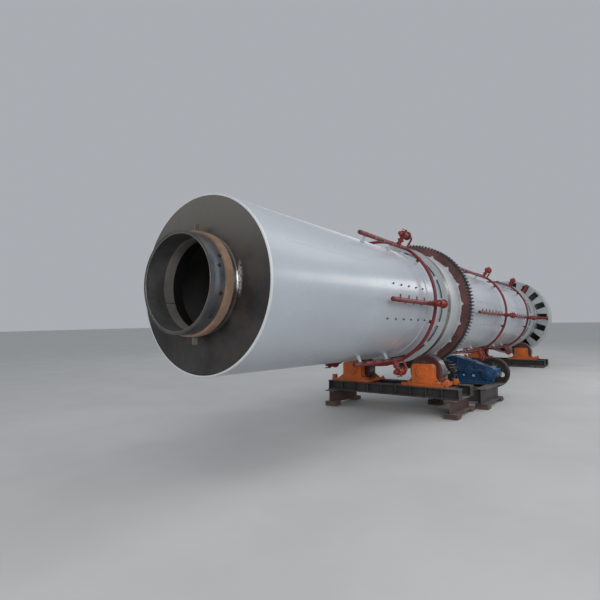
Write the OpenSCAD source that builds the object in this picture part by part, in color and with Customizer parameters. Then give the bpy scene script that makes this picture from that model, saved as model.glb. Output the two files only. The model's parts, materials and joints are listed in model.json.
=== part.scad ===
// Inclined rotary kiln on two roller stations, turned by a girth gear, with
// air pipework around its shell and a windowed drum at the discharge end.
// World frame: +X runs from the feed end to the discharge end, +Z is up, the
// floor is z = 0 and the origin lies on the floor under the second tyre.
// Inside on_kiln() the frame is tilted with the kiln: x runs along its axis
// and is 0 at the feed end plate.

/* [Kiln] */
// Outer radius of the shell
shell_r = 1000; // [990:1:1010]
// Thickness of the shell plate
shell_t = 16; // [12:1:20]
// Length of the shell from the feed end plate to the discharge end plate
kiln_len = 16150; // [16100:10:16300]
// Height of the kiln axis over the floor at the feed end
axis_h = 2100; // [2090:5:2200]
// Slope of the kiln axis in degrees, down to the discharge end
slope = 1.5; // [1.4:0.1:1.6]
// Extra thickness of the shell courses under the tyres and the gear
wrap_t = 12; // [8:1:14]

/* [Feed end] */
// Inner radius of the feed throat
throat_r = 508; // [495:1:510]
// Wall thickness of the feed throat
throat_t = 34; // [25:1:36]
// How far the throat stands out of the end plate
throat_out = 340; // [300:10:360]
// Thickness of the flat ring inside the throat
inner_ring_t = 8; // [6:1:12]

/* [Tyres and rollers] */
// Outer radius of a tyre
tyre_r = 1137; // [1130:1:1140]
// Inner radius of a tyre
tyre_bore_r = 1040; // [1036:1:1044]
// Width of a tyre
tyre_w = 170; // [160:5:190]
// Start of the first tyre along the axis
tyre_1_x = 4800; // [4790:5:4810]
// Start of the second tyre along the axis
tyre_2_x = 13880; // [13870:5:13890]
// Radius of a support roller
roller_r = 300; // [290:1:304]
// Width of a support roller
roller_w = 230; // [220:5:240]
// Angle of a roller from the bottom of the tyre
roller_angle = 30; // [29.5:0.1:30.5]

/* [Girth gear] */
// Module of the gear teeth
gear_module = 22; // [20:1:22]
// Teeth of the girth gear
gear_teeth = 116; // [112:1:117]
// Teeth of the pinion
pinion_teeth = 20; // [18:1:20]
// Width of the girth gear
gear_w = 220; // [200:5:220]
// Start of the girth gear along the axis
gear_x = 5700; // [5690:5:5710]
// Angle of the pinion below the level line through the kiln axis
pinion_angle = 62.3; // [62:0.1:62.6]

/* [Discharge drum] */
// Outer radius of the windowed drum
drum_r = 1390; // [1370:5:1395]
// Start of the windowed drum along the axis
drum_x = 15450; // [15440:5:15460]
// Windows around the drum
window_count = 18; // [16:1:20]
// Width of a window
window_w = 206; // [190:2:210]

/* [Pipework] */
// Air headers around the shell
header_count = 6; // [5:1:7]
// Angle of the first header above the level line on the drive side
header_angle = -3; // [-5:1:-1]
// Radius of a header pipe
header_r = 34; // [30:1:36]
// Radius of a ring main's pipe
ring_pipe_r = 28; // [24:1:29]
// Distance of the header pipes from the kiln axis
header_at = 1125; // [1120:1:1130]
// Distance of the ring mains from the kiln axis
ring_at = 1125; // [1120:1:1130]

/* [Hidden] */
$fn = 96;

// Shell courses along the axis
course_2 = tyre_1_x - 650;
course_3 = gear_x + 700;
course_4 = tyre_2_x - 450;
course_5 = tyre_2_x + tyre_w + 450;
shell_in = shell_r - shell_t;
wrap_r = shell_r + wrap_t;
plate_t = 20;
drum_t = 20;
seat_r = 1100;

// Header sets: where each header starts, and where its ring main is
ring_x = [4195, 9620, 12755];
header_start = [2480, 6980, 10840];
header_turn = [0, -2, -2];
nozzle_pitch = 310;
nozzle_start = 255;
nozzle_shift = 190;
nozzle_r = 9;
nozzle_up = 74;
nozzle_down = 56;
valve_reach = 1400;
drum_valve_x = 15200;

// Rollers and their stations
roller_at = tyre_r + roller_r + 0.3;
function tenth(v) = round(v * 10) / 10;
roller_y = tenth(roller_at * sin(roller_angle));
roller_z = tenth(-roller_at * cos(roller_angle));
shaft_r = 60;
fit_gap = 0.05;
housing_w = 400;
housing_l = 160;
bed_top = -1450;
bed_t = 45;
bed_w = 780;
housing_top = -1105;
beam_w = 200;
beam_h = 185;
flange_t = 16;
web_t = 12;
sleeper_h = 230;

// Gear and pinion
pitch_r = gear_module * gear_teeth / 2;
gear_tip_r = gear_module * (gear_teeth + 2) / 2;
gear_root_r = gear_module * (gear_teeth - 2.5) / 2;
pinion_pitch_r = gear_module * pinion_teeth / 2;
pinion_tip_r = gear_module * (pinion_teeth + 2) / 2;
pinion_root_r = gear_module * (pinion_teeth - 2.5) / 2;
mesh_at = pitch_r + pinion_pitch_r + 1;
pinion_y = tenth(-mesh_at * cos(pinion_angle));
pinion_z = tenth(-mesh_at * sin(pinion_angle));
mesh_turn = pinion_angle - 90;
pinion_shaft_r = 70;

// Reducer
reducer_x = 6350;
reducer_w = 350;
drive_floor = -1580;
input_y = pinion_y - 705;
input_z = pinion_z - 60;
big_case_r = 292;
small_case_r = 150;
input_shaft_r = 35;
pulley_x = 6800;
pulley_w = 150;
pulley_r = 310;
drive_base_h = 290;
drive_x0 = 5430;
drive_x1 = 6740;

// The frame that is tilted with the kiln. row_x is where the origin lies.
row_x = 13921;
module on_kiln() {
  translate([-row_x, 0, axis_h]) rotate([0, slope, 0]) children();
}

// A cylinder along x between two stations
module xcyl(r, x0, x1) {
  translate([x0, 0, 0]) rotate([0, 90, 0]) cylinder(r = r, h = x1 - x0);
}

// A ring around the kiln axis
module ring(r_out, r_in, x0, x1) {
  difference() {
    xcyl(r_out, x0, x1);
    xcyl(r_in, x0 - 1, x1 + 1);
  }
}

// Children that stand out to the drive side (-y) are turned up by an angle
module at_clock(angle) {
  rotate([-angle, 0, 0]) children();
}

// A pipe ring around the kiln axis
module pipe_ring(at, r, x) {
  translate([x, 0, 0]) rotate([0, 90, 0]) rotate_extrude() translate([at, 0]) circle(r = r);
}

// A radial pipe on the drive side, between two distances from the kiln axis
module radial_pipe(x, r0, r1, r) {
  translate([x, -r0, 0]) rotate([90, 0, 0]) cylinder(r = r, h = r1 - r0, $fn = 32);
}

// Involute gear outline, with one tooth centred on the first axis
function flank_turn(r, base_r) =
  let (t = sqrt(max(0, pow(r / base_r, 2) - 1))) t * 180 / PI - atan(t);
function half_tooth(r, teeth) =
  let (pitch = gear_module * teeth / 2, base_r = pitch * cos(20))
  89 / teeth + flank_turn(pitch, base_r) - flank_turn(max(r, base_r), base_r);
function gear_outline(teeth, radii) = [
  for (k = [0 : teeth - 1])
    each concat(
      [for (r = radii) r * [cos(k * 360 / teeth - half_tooth(r, teeth)),
                            sin(k * 360 / teeth - half_tooth(r, teeth))]],
      [for (i = [len(radii) - 1 : -1 : 0])
         let (r = radii[i], a = k * 360 / teeth + half_tooth(r, teeth)) r * [cos(a), sin(a)]])
];

module toothed(teeth, root_r, tip_r, x0, w, turn) {
  radii = [root_r, (root_r + tip_r) / 2, tip_r - gear_module * 0.4, tip_r];
  translate([x0, 0, 0])
    rotate([0, 90, 0])
      rotate([0, 0, turn])
        linear_extrude(w) polygon(gear_outline(teeth, radii));
}

// Shell

module shell_course(x0, x1, r_out) {
  color("lightsteelblue") on_kiln() ring(r_out, shell_in, x0, x1);
}
module shell_feed_course() shell_course(plate_t, course_2, shell_r);
module shell_gear_course() shell_course(course_2, course_3, wrap_r);
module shell_middle_course() shell_course(course_3, course_4, shell_r);
module shell_tyre_course() shell_course(course_4, course_5, wrap_r);
module shell_discharge_course() shell_course(course_5, kiln_len - plate_t, shell_r);

module feed_end_plate() {
  color("dimgray") on_kiln() ring(shell_r, throat_r + throat_t, 0, plate_t);
}

module feed_throat() {
  color("slategray") on_kiln() ring(throat_r + throat_t, throat_r, -throat_out, 160);
}

collar_r = throat_r + throat_t + 24;
module throat_collar() {
  color("sienna") on_kiln() ring(collar_r, throat_r + throat_t, -170, -72);
}

// A flat bar rolled to a ring inside the throat, with a gap between its ends
module throat_inner_ring() {
  gap = 10;
  color("slategray") on_kiln()
    difference() {
      ring(throat_r, throat_r - inner_ring_t, -100, 25);
      at_clock(202)
        translate([-110, -throat_r - 10, -gap / 2])
          cube([145, inner_ring_t + 20, gap]);
    }
}

// Two lugs that stand on the collar, at the top and the bottom
module throat_lugs() {
  lug_w = 80;
  lug_h = 76;
  color("dimgray") on_kiln()
    for (a = [90, -90])
      at_clock(a)
        difference() {
          translate([-150, -collar_r - lug_h, -lug_w / 2]) cube([60, lug_h + 10, lug_w]);
          xcyl(collar_r, -200, 0);
        }
}

// Tyres with the pads that centre them on the shell

module tyre(x0) {
  color("gainsboro") on_kiln() ring(tyre_r, tyre_bore_r, x0, x0 + tyre_w);
}
module tyre_1() tyre(tyre_1_x);
module tyre_2() tyre(tyre_2_x);

pad_count = 15;
pad_w = 74;
pad_over = 12;
module tyre_pads(x0) {
  color("white") on_kiln()
    intersection() {
      ring(tyre_bore_r, wrap_r, x0 - pad_over, x0 + tyre_w + pad_over, $fn = 240);
      for (k = [0 : pad_count - 1])
        at_clock(2.2 + k * 360 / pad_count)
          translate([x0 - pad_over, -tyre_r, -pad_w / 2])
            cube([tyre_w + 2 * pad_over, 200, pad_w]);
    }
}
module tyre_1_pads() tyre_pads(tyre_1_x);
module tyre_2_pads() tyre_pads(tyre_2_x);

// Girth gear on a turned seat

seat_x = tyre_1_x + tyre_w + 70;
module gear_seat() {
  seat_t = 20;
  seat_end = gear_x + gear_w;
  color("gainsboro") on_kiln()
    union() {
      ring(seat_r, seat_r - seat_t, seat_x, seat_end);
      ring(seat_r - seat_t / 2, wrap_r, seat_x, seat_x + seat_t);
      ring(seat_r - seat_t / 2, wrap_r, seat_end - seat_t, seat_end);
    }
}

// A flange with pointed, hollow sided lugs, bolted to the near face of the gear
lug_count = 18;
lug_t = 24;
module gear_lug_flange() {
  edge_r = seat_r + 12;
  lug = [[1000, 74], [edge_r - 3, 74], [edge_r + 4, 48], [edge_r + 18, 26], [edge_r + 40, 12]];
  color("gainsboro") on_kiln()
    translate([gear_x - lug_t, 0, 0])
      rotate([0, 90, 0])
        linear_extrude(lug_t)
          difference() {
            union() {
              circle(r = edge_r);
              for (k = [0 : lug_count - 1])
                rotate(9 + k * 360 / lug_count)
                  polygon(concat([for (p = lug) [p[0], -p[1]]],
                                 [for (i = [len(lug) - 1 : -1 : 0]) lug[i]]));
            }
            circle(r = seat_r);
          }
}

module girth_gear() {
  color("rosybrown") on_kiln()
    difference() {
      toothed(gear_teeth, gear_root_r, gear_tip_r, gear_x, gear_w, mesh_turn);
      xcyl(seat_r, gear_x - 1, gear_x + gear_w + 1);
    }
}

// Windowed drum at the discharge end

// Flat bars between the windows, from the shell to the outer ring
window_out = 1320;
module drum_spokes() {
  color("gainsboro") on_kiln()
    difference() {
      ring(window_out, shell_r, drum_x, drum_x + drum_t);
      for (k = [0 : window_count - 1])
        at_clock(k * 360 / window_count)
          translate([drum_x - 10, -window_out - 20, -window_w / 2])
            cube([40, window_out - shell_r + 60, window_w]);
    }
}

module drum_outer_ring() {
  color("gainsboro") on_kiln()
    ring(drum_r - drum_t, window_out, drum_x, drum_x + drum_t);
}

module drum_rim() {
  color("whitesmoke") on_kiln() ring(drum_r, drum_r - drum_t, drum_x, kiln_len);
}

module drum_end_plate() {
  color("dimgray") on_kiln()
    ring(drum_r - drum_t, throat_r + throat_t, kiln_len - plate_t, kiln_len);
}

module discharge_throat() {
  color("slategray") on_kiln()
    ring(throat_r + throat_t, throat_r, kiln_len - 160, kiln_len + throat_out);
}

// Air pipework: ring mains, headers with nozzles on both sides, posts and valves

module ring_main(k) {
  color("firebrick") on_kiln() pipe_ring(ring_at, ring_pipe_r, ring_x[k]);
}
module ring_main_1() ring_main(0);
module ring_main_2() ring_main(1);
module ring_main_3() ring_main(2);

nozzle_room = 480;
function nozzle_count(k) =
  floor((ring_x[k] - header_start[k] - nozzle_room) / nozzle_pitch) + 1;

module header(k) {
  difference() {
    union() {
      translate([0, -header_at, 0]) xcyl(header_r, header_start[k], ring_x[k], $fn = 48);
      for (i = [0 : nozzle_count(k) - 1])
        translate([header_start[k] + nozzle_start + i * nozzle_pitch, -header_at, 0])
          cylinder(r = nozzle_r, h = nozzle_up, $fn = 24);
      for (i = [0 : nozzle_count(k) - 2])
        translate([header_start[k] + nozzle_start + nozzle_shift + i * nozzle_pitch,
                   -header_at, -nozzle_down])
          cylinder(r = nozzle_r, h = nozzle_down, $fn = 24);
    }
    pipe_ring(ring_at, ring_pipe_r, ring_x[k]);
  }
}
module header_set(k) {
  color("firebrick") on_kiln()
    for (i = [0 : header_count - 1])
      at_clock(header_angle + header_turn[k] + i * 360 / header_count) header(k);
}
module headers_1() header_set(0);
module headers_2() header_set(1);
module headers_3() header_set(2);

// Pale posts that carry the headers, two to a header
post_r = 23;
module header_posts() {
  color("gainsboro") on_kiln()
    for (k = [0 : 2])
      for (i = [0 : header_count - 1])
        at_clock(header_angle + header_turn[k] + i * 360 / header_count)
          for (t = [0.12, 0.65])
            difference() {
              translate([header_start[k] + t * (ring_x[k] - header_start[k]), -header_at, 0])
                rotate([-90, 0, 0]) cylinder(r = post_r, h = header_at - shell_r + 30, $fn = 24);
              xcyl(shell_r, 0, kiln_len);
              translate([0, -header_at, 0]) xcyl(header_r, header_start[k], ring_x[k], $fn = 48);
            }
}

// A riser with a valve body on top, and a thin pipe bent from there down to
// the ring main. The body starts at its left end, valve_len before the ring.
riser_back = 365;
riser_foot = 20;
valve_at = 1335;
valve_len = 580;
bend_r = 60;
thin_r = 17;
module valve_unit(x) {
  difference() {
    union() {
      radial_pipe(x - riser_back, header_at + riser_foot, valve_at, 36);
      translate([x - valve_len, -valve_at, 0]) {
        xcyl(30, 70, 150, $fn = 32);
        xcyl(50, 140, 390, $fn = 48);
        xcyl(58, 140, 164, $fn = 48);
        xcyl(74, 338, 362, $fn = 48);
        xcyl(thin_r, 370, valve_len - bend_r, $fn = 32);
      }
      translate([x - bend_r, bend_r - valve_at, 0])
        rotate([0, 0, -90])
          rotate_extrude(angle = 90) translate([bend_r, 0]) circle(r = thin_r, $fn = 32);
      radial_pipe(x, ring_at, valve_at - bend_r, thin_r);
    }
    translate([0, -header_at, 0]) xcyl(header_r, x - 600, x, $fn = 48);
    pipe_ring(ring_at, ring_pipe_r, x);
  }
}
module valve_set(k) {
  color("brown") on_kiln()
    for (i = [0 : header_count - 1])
      at_clock(header_angle + header_turn[k] + i * 360 / header_count) valve_unit(ring_x[k]);
}
module valves_1() valve_set(0);
module valves_2() valve_set(1);
module valves_3() valve_set(2);

// Radial stub valves on the shell in front of the windowed drum
module discharge_valves() {
  color("brown") on_kiln()
    for (i = [0 : header_count - 1])
      at_clock(header_angle + i * 360 / header_count)
        difference() {
          union() {
            radial_pipe(drum_valve_x, shell_r - 30, valve_reach - 30, 44);
            radial_pipe(drum_valve_x, valve_reach - 60, valve_reach - 20, 74);
          }
          xcyl(shell_r, drum_valve_x - 200, drum_valve_x + 200);
        }
}

// Support rollers with their shafts

// Each roller face is turned back between its tread and its hub
recess_t = 28;
shaft_half = 284;
module roller(x0, side) {
  middle = x0 + tyre_w / 2;
  low = middle - roller_w / 2;
  high = middle + roller_w / 2;
  color("rosybrown") on_kiln()
    translate([0, side * roller_y, roller_z])
      union() {
        difference() {
          xcyl(roller_r, low, high);
          ring(roller_r - 48, shaft_r + 62, low - 1, low + recess_t);
          ring(roller_r - 48, shaft_r + 62, high - recess_t, high + 1);
        }
        xcyl(shaft_r + 40, low - 20, high + 20);
        xcyl(shaft_r, middle - shaft_half, middle + shaft_half);
      }
}
module rollers_1_drive_side() roller(tyre_1_x, -1);
module rollers_1_far_side() roller(tyre_1_x, 1);
module rollers_2_drive_side() roller(tyre_2_x, -1);
module rollers_2_far_side() roller(tyre_2_x, 1);

// A bearing housing: an upright block with a round top edge and a cover
module housing_profile(w, h, r) {
  union() {
    translate([-w / 2, 0]) square([w, h - r]);
    translate([-w / 2 + r, 0]) square([w - 2 * r, h]);
    for (s = [-1, 1])
      translate([s * (w / 2 - r), h - r]) circle(r = r);
  }
}

module housing(x0, outward) {
  cover = outward < 0 ? x0 - 34 : x0 + housing_l - 1;
  difference() {
    union() {
      translate([x0, 0, bed_top - roller_z])
        rotate([90, 0, 90])
          linear_extrude(housing_l)
            housing_profile(housing_w, housing_top - bed_top, 60);
      xcyl(110, cover, cover + 35);
    }
    xcyl(shaft_r + fit_gap, outward < 0 ? x0 + 20 : x0 - 1,
         outward < 0 ? x0 + housing_l + 1 : x0 + housing_l - 20);
  }
}

module station_housings(x0) {
  middle = x0 + tyre_w / 2;
  color("darkorange") on_kiln()
    for (side = [-1, 1])
      translate([0, side * roller_y, roller_z]) {
        housing(middle - 310, -1);
        housing(middle + 150, 1);
      }
}
module station_1_housings() station_housings(tyre_1_x);
module station_2_housings() station_housings(tyre_2_x);

// Bedplates under the housings, open under the roller, with stop blocks beside
roller_gap = 60;
module station_bedplates(x0) {
  middle = x0 + tyre_w / 2;
  slot_l = roller_w + roller_gap;
  slot_w = 2 * sqrt(pow(roller_r, 2) - pow(bed_top - roller_z, 2)) + roller_gap;
  color("orangered") on_kiln()
    for (side = [-1, 1]) {
      translate([middle - 355, side * roller_y - bed_w / 2, bed_top - bed_t])
        difference() {
          cube([710, bed_w, bed_t]);
          translate([355 - slot_l / 2, (bed_w - slot_w) / 2, -1]) cube([slot_l, slot_w, bed_t + 2]);
        }
      for (x = [middle - 300, middle + 200])
        translate([x, side * (roller_y + bed_w / 2 + 40) - 30, bed_top - bed_t])
          cube([100, 60, 105]);
    }
}
module station_1_bedplates() station_bedplates(tyre_1_x);
module station_2_bedplates() station_bedplates(tyre_2_x);

// A beam of I section along y, with ribs between its flanges
module beam_y(x, y0, y1, top) {
  union() {
    translate([x, y0, top - flange_t]) cube([beam_w, y1 - y0, flange_t]);
    translate([x, y0, top - beam_h]) cube([beam_w, y1 - y0, flange_t]);
    translate([x + beam_w / 2 - web_t / 2, y0, top - beam_h + 1])
      cube([web_t, y1 - y0, beam_h - 2]);
    rib_pitch = (y1 - y0 - web_t) / 9;
    for (i = [0 : 9])
      translate([x + 8, y0 + i * rib_pitch, top - beam_h + 1])
        cube([beam_w - 16, web_t, beam_h - 2]);
  }
}

// A beam of I section along x
module beam_x(x0, x1, y, top, h) {
  union() {
    translate([x0, y - beam_w / 2, top - flange_t]) cube([x1 - x0, beam_w, flange_t]);
    translate([x0, y - beam_w / 2, top - h]) cube([x1 - x0, beam_w, flange_t]);
    translate([x0, y - web_t / 2, top - h + 1]) cube([x1 - x0, web_t, h - 2]);
  }
}

// Two cross beams joined by ties
module station_beams(x0, y0, y1) {
  middle = x0 + tyre_w / 2;
  top = bed_top - bed_t;
  color("dimgray") on_kiln()
    union() {
      beam_y(middle - 445, y0, y1, top);
      beam_y(middle + 245, y0, y1, top);
      for (y = [y0 + 250, (y0 + y1) / 2, y1 - 250])
        translate([middle - 340, y - 40, top - beam_h + 30]) cube([680, 80, beam_h - 60]);
    }
}
module station_1_beams() station_beams(tyre_1_x, -1400, 1180);
module station_2_beams() station_beams(tyre_2_x, -1450, 1450);

// Two long sleepers carry the cross beams of the first station
sleeper_x0 = 4300;
sleeper_x1 = 5390;
module station_1_sleepers() {
  color("saddlebrown") on_kiln()
    for (y = [-1290, 1070])
      beam_x(sleeper_x0, sleeper_x1, y, bed_top - bed_t - beam_h, sleeper_h);
}

// Wedge blocks: level on the floor, cut to the slope on top
module wedge(x, y, w, l, top) {
  intersection() {
    translate([x + tenth(top * sin(slope)) - row_x - l / 2, y - w / 2, 0]) cube([l, w, 600]);
    on_kiln() translate([x - 600, y - w, top - 2000]) cube([1200, 2 * w, 2000]);
  }
}
module packing_wedges() {
  sleeper_low = bed_top - bed_t - beam_h - sleeper_h;
  beam_low = bed_top - bed_t - beam_h;
  base_low = drive_floor - drive_base_h;
  color("peru") {
    for (y = [-1290, 1070])
      for (x = [sleeper_x0 + 130, sleeper_x1 - 130])
        wedge(x, y, 240, 200, sleeper_low);
    for (y = [-1300, 0, 1300])
      wedge(tyre_2_x + tyre_w / 2, y, 260, 1000, beam_low);
    for (x = [drive_x0 + 140, drive_x1 - 140])
      for (y = [-600, -1500])
        wedge(x, y, 240, 200, base_low);
  }
}

// Drive

module pinion() {
  coupling_x = gear_x + gear_w + 240;
  color("darkslategray") on_kiln()
    translate([0, pinion_y, pinion_z])
      union() {
        toothed(pinion_teeth, pinion_root_r, pinion_tip_r, gear_x - 10, gear_w + 20,
                mesh_turn + 180 / pinion_teeth + 180);
        xcyl(pinion_shaft_r, drive_x0 + 70, reducer_x + 60);
        xcyl(150, coupling_x - 30, coupling_x + 140);
      }
}

module pinion_bearing(x0) {
  difference() {
    union() {
      translate([x0, 0, drive_floor + 40 - pinion_z])
        rotate([90, 0, 90])
          linear_extrude(120) housing_profile(280, 350, 110);
      translate([x0 - 10, -230, drive_floor - pinion_z]) cube([140, 460, 40.5]);
    }
    xcyl(pinion_shaft_r + fit_gap, x0 - 1, x0 + 121);
  }
}
module pinion_bearings() {
  color("silver") on_kiln()
    translate([0, pinion_y, pinion_z]) {
      pinion_bearing(drive_x0 + 80);
      pinion_bearing(gear_x + gear_w + 50);
    }
}

// Reducer: a lower case up to the shaft line, and a cover with a sloping roof
case_bore = input_shaft_r + fit_gap;
module case_bores() {
  translate([0, pinion_y, pinion_z])
    xcyl(pinion_shaft_r + fit_gap, reducer_x - 200, reducer_x + 80);
  translate([0, input_y, input_z])
    xcyl(case_bore, reducer_x + 120, reducer_x + reducer_w + 60);
}

module reducer_caps(r_in, r_out) {
  translate([0, pinion_y, pinion_z]) xcyl(r_out, reducer_x - 30, reducer_x + reducer_w + 10);
  translate([0, input_y, input_z]) xcyl(r_in, reducer_x - 46, reducer_x + reducer_w + 20);
}

module reducer_case() {
  case_y = input_y - small_case_r;
  case_len = pinion_y + big_case_r - case_y;
  block_len = pinion_y + big_case_r - input_y;
  color("royalblue") on_kiln()
    difference() {
      union() {
        translate([reducer_x + 20, input_y, drive_floor])
          cube([reducer_w - 40, block_len, pinion_z - drive_floor]);
        intersection() {
          translate([0, input_y, input_z]) xcyl(small_case_r, reducer_x + 20, reducer_x + reducer_w - 20);
          translate([reducer_x, case_y - 1, drive_floor])
            cube([reducer_w, small_case_r + 1, pinion_z - drive_floor]);
        }
        translate([reducer_x - 20, input_y - 60, drive_floor])
          cube([reducer_w + 40, block_len + 90, 40]);
        translate([reducer_x - 10, case_y - 30, pinion_z - 24])
          cube([reducer_w + 20, case_len + 60, 24]);
        intersection() {
          reducer_caps(110, 140);
          translate([reducer_x - 200, case_y - 200, pinion_z - 500])
            cube([reducer_w + 400, case_len + 400, 500]);
        }
      }
      case_bores();
    }
}

// Outline of the cover: two round ends joined by their upper tangent
module cover_outline() {
  far = [input_y - pinion_y, input_z - pinion_z];
  turn = atan2(far[1], far[0]) - acos((big_case_r - small_case_r) / norm(far));
  tangent = [cos(turn), sin(turn)];
  inset = 0.5;
  intersection() {
    union() {
      circle(r = big_case_r);
      translate(far) circle(r = small_case_r);
      polygon([[0, 0], (big_case_r - inset) * tangent,
               far + (small_case_r - inset) * tangent, far]);
    }
    translate([-2000, 0]) square([4000, 1000]);
  }
}

module reducer_cover() {
  case_y = input_y - small_case_r;
  case_len = pinion_y + big_case_r - case_y;
  color("steelblue") on_kiln()
    difference() {
      union() {
        translate([reducer_x + 20, pinion_y, pinion_z])
          rotate([90, 0, 90]) linear_extrude(reducer_w - 40) cover_outline();
        translate([reducer_x - 10, case_y - 30, pinion_z])
          cube([reducer_w + 20, case_len + 60, 24]);
        intersection() {
          reducer_caps(110, 140);
          translate([reducer_x - 200, case_y - 200, pinion_z])
            cube([reducer_w + 400, case_len + 400, 500]);
        }
      }
      case_bores();
    }
}

module input_shaft() {
  color("silver") on_kiln()
    translate([0, input_y, input_z]) xcyl(input_shaft_r, reducer_x + 140, pulley_x + pulley_w + 24);
}

// Grooved pulley with round holes in its web
module belt_pulley() {
  web_in = 50;
  groove = 14;
  hole_r = 52;
  edge = [for (i = [0 : 4]) each [
    [pulley_r, 12 + i * 27], [pulley_r - groove, 19 + i * 27],
    [pulley_r - groove, 26 + i * 27], [pulley_r, 33 + i * 27]]];
  profile = concat(
    [[input_shaft_r, 0], [75, 0], [75, web_in], [pulley_r - 50, web_in],
     [pulley_r - 40, 0], [pulley_r, 0]],
    edge,
    [[pulley_r, pulley_w], [pulley_r - 40, pulley_w], [pulley_r - 50, pulley_w - web_in],
     [75, pulley_w - web_in], [75, pulley_w], [input_shaft_r, pulley_w]]);
  color("saddlebrown") on_kiln()
    translate([pulley_x, input_y, input_z])
      difference() {
        rotate([0, 90, 0]) rotate_extrude() polygon(profile);
        for (a = [0 : 90 : 270])
          rotate([a + 13, 0, 0])
            translate([-1, -175, 0]) rotate([0, 90, 0]) cylinder(r = hole_r, h = pulley_w + 2);
      }
}

module drive_base() {
  top = drive_floor;
  color("dimgray") on_kiln()
    union() {
      for (y = [-600, -1500])
        beam_x(drive_x0, drive_x1, y, top, drive_base_h);
      for (x = [drive_x0 + 100, 5990, drive_x1 - 160])
        translate([x, -1501, top - drive_base_h + 40]) cube([90, 902, drive_base_h - 80]);
      translate([drive_x0, -930, top - flange_t]) cube([700, 660, flange_t]);
      translate([reducer_x - 40, -1640, top - flange_t])
        cube([drive_x1 - reducer_x + 40, 1270, flange_t]);
    }
}

shell_feed_course();
shell_gear_course();
shell_middle_course();
shell_tyre_course();
shell_discharge_course();
feed_end_plate();
feed_throat();
throat_collar();
throat_inner_ring();
throat_lugs();
tyre_1();
tyre_1_pads();
tyre_2();
tyre_2_pads();
gear_seat();
gear_lug_flange();
girth_gear();
drum_spokes();
drum_outer_ring();
drum_rim();
drum_end_plate();
discharge_throat();
ring_main_1();
ring_main_2();
ring_main_3();
headers_1();
headers_2();
headers_3();
header_posts();
valves_1();
valves_2();
valves_3();
discharge_valves();
rollers_1_drive_side();
rollers_1_far_side();
rollers_2_drive_side();
rollers_2_far_side();
pinion();
input_shaft();
belt_pulley();
station_1_housings();
station_2_housings();
station_1_bedplates();
station_2_bedplates();
station_1_beams();
station_2_beams();
station_1_sleepers();
packing_wedges();
pinion_bearings();
reducer_case();
reducer_cover();
drive_base();
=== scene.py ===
"""Looks for the rotary kiln: materials, welds, bolts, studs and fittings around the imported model."""

import json
import math

import bmesh
import bpy
from mathutils import Matrix, Vector


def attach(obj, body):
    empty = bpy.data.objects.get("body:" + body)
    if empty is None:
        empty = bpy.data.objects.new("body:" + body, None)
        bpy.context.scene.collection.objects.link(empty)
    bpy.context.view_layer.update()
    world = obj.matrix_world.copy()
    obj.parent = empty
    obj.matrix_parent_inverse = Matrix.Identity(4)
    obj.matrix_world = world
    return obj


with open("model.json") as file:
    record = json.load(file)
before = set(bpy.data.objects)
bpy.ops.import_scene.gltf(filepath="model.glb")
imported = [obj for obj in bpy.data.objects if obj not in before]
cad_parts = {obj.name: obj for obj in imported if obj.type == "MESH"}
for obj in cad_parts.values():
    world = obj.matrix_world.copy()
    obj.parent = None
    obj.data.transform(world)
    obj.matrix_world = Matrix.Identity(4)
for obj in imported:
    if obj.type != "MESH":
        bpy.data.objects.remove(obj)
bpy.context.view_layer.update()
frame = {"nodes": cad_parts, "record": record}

# The frame tilted with the kiln, as part.scad has it: x along the kiln axis, metres
SLOPE = math.radians(1.5)
ORIGIN = Vector((-13.921, 0, 2.1))
KILN = Matrix.Translation(ORIGIN) @ Matrix.Rotation(SLOPE, 4, "Y")

# Places in that frame, as part.scad has them
KILN_LEN = 16.15
HEADER_START = (2.48, 6.98, 10.84)
RING_X = (4.195, 9.62, 12.755)
TURNS = [[first + 60 * i for i in range(6)] for first in (-3, -5, -5)]
POSTS = (0.12, 0.65)
HEADER_AT, HEADER_R = 1.125, 0.034
RING_AT, RING_R = 1.125, 0.028
VALVE_AT = 1.335
RISER_BACK = 0.365
NOZZLE_PITCH = 0.31
DISCHARGE_VALVE_X = 15.2
STUD_START = (2.585, 7.15, 11.1)
STUD_PITCH = 0.29
# Seams between the shell's courses, and the ends of the thicker courses with the way that each faces
SEAMS = (0.4, 2.28, 8.3, 10.2, 12.1)
WRAP_R = 1.012
WRAP_ENDS = ((4.15, -1), (14.5, 1), (6.4, 1), (13.43, -1))
THROAT_R, THROAT_OUT_R = 0.508, 0.542
THROAT_PLUGS = [(-0.236, 15.5), (-0.2, 27), (-0.215, -14), (-0.236, -41), (-0.215, 120), (-0.215, 165), (-0.215, 215)]
TYRE_MIDS = (4.885, 13.965)
TYRE_HALF, TYRE_R = 0.085, 1.137
GEAR_X, GEAR_W = 5.7, 0.22
GEAR_ROOT_R, GEAR_LUG_R = 1.243, 1.131
SEAT_ENDS = ((5.04, -1), (5.92, 1))
ROLLER_Y, ROLLER_Z, ROLLER_R = 0.7187, -1.2447, 0.3
BEAM_ENDS = ((-1.4, 1.18), (-1.45, 1.45))
BED_TOP, BED_T, BED_W = -1.45, 0.045, 0.78
HOUSING_TOP = -1.105
PINION_Y, PINION_Z = -0.6959, -1.3254
INPUT_Y, INPUT_Z = -1.4009, -1.3854
REDUCER_X, REDUCER_W = 6.35, 0.35
DRIVE_FLOOR = -1.58
PULLEY_X = 6.8

# Every look by its name
looks = {}


# Camera, at the photograph's place


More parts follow.
